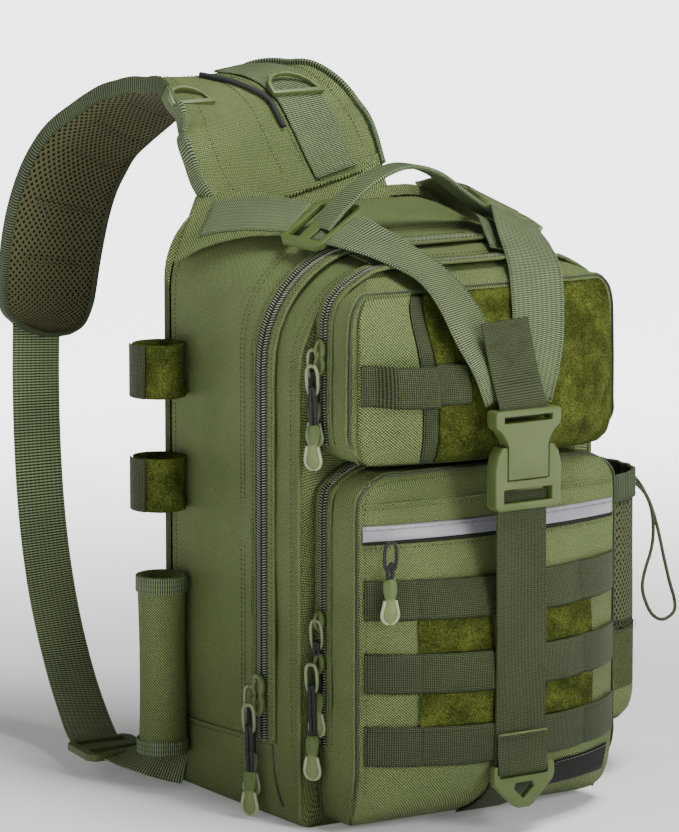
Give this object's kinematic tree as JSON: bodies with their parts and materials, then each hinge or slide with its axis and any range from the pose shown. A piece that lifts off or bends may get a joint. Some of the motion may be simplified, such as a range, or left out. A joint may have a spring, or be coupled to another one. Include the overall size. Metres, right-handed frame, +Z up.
{
  "type": "fishing tackle sling bag",
  "caption": "Upright one-shoulder fishing tackle bag of cloth with front pockets, webbing rows, a buckled front strap, a rod sleeve, a mesh side pocket, a grab handle and a padded strap.",
  "frame": {"origin": "centre of the flat base", "axes": "+Z up, -Y towards the front pockets, +X towards the mesh side pocket"},
  "size_m": [0.3995, 0.4587, 0.5067],
  "materials": {
    "cloth_green": "woven nylon",
    "webbing_green": "ribbed webbing",
    "loop_green": "hook-and-loop pile",
    "plastic_green": "satin",
    "zip_green": "coil zip on tape",
    "tab_green": "soft and slightly translucent",
    "mesh_green": "open mesh",
    "stripe_grey": "reflective tape",
    "label_dark": "plain woven label",
    "cord_green": "braided elastic"
  },
  "bodies": {
    "root": {"main_shell": "cloth_green", "lower_pocket": "cloth_green", "upper_pocket": "cloth_green", "tool_holster": "cloth_green", "wing_left": "cloth_green", "wing_right": "cloth_green", "shoulder_pad": "cloth_green", "rod_sleeve": "cloth_green", "molle_row_low": "webbing_green", "molle_row_mid": "webbing_green", "molle_row_top": "webbing_green", "under_strap": "webbing_green", "holster_binding": "webbing_green", "holster_band": "webbing_green", "centre_strap": "webbing_green", "v_strap_left": "webbing_green", "v_strap_right": "webbing_green", "junction_patch": "webbing_green", "carry_handle": "webbing_green", "shoulder_tape": "webbing_green", "strap_webbing": "webbing_green", "lower_tab": "webbing_green", "rod_loop_low": "webbing_green", "rod_loop_high": "webbing_green", "side_hem": "webbing_green", "loop_patch_left_low": "loop_green", "loop_patch_right_low": "loop_green", "loop_patch_left_high": "loop_green", "loop_patch_right_high": "loop_green", "loop_panel": "loop_green", "buckle_socket": "plastic_green", "buckle_plug": "plastic_green", "triangle_ring": "plastic_green", "ladder_lock_left": "plastic_green", "ladder_lock_right": "plastic_green", "lower_lock": "plastic_green", "d_ring": "plastic_green", "side_d_ring": "plastic_green", "main_zip": "zip_green", "lower_zip": "zip_green", "upper_zip": "zip_green", "main_pull_upper": "tab_green", "main_pull_lower": "tab_green", "lower_pull_upper": "tab_green", "lower_pull_lower": "tab_green", "upper_pull_left": "tab_green", "upper_pull_right": "tab_green", "flap_pull": "tab_green", "back_panel": "mesh_green", "side_pocket": "mesh_green", "reflective_strip": "stripe_grey", "label_patch": "label_dark", "draw_cord": "cord_green", "elastic_keeper": "cord_green"}
  },
  "joints": []
}
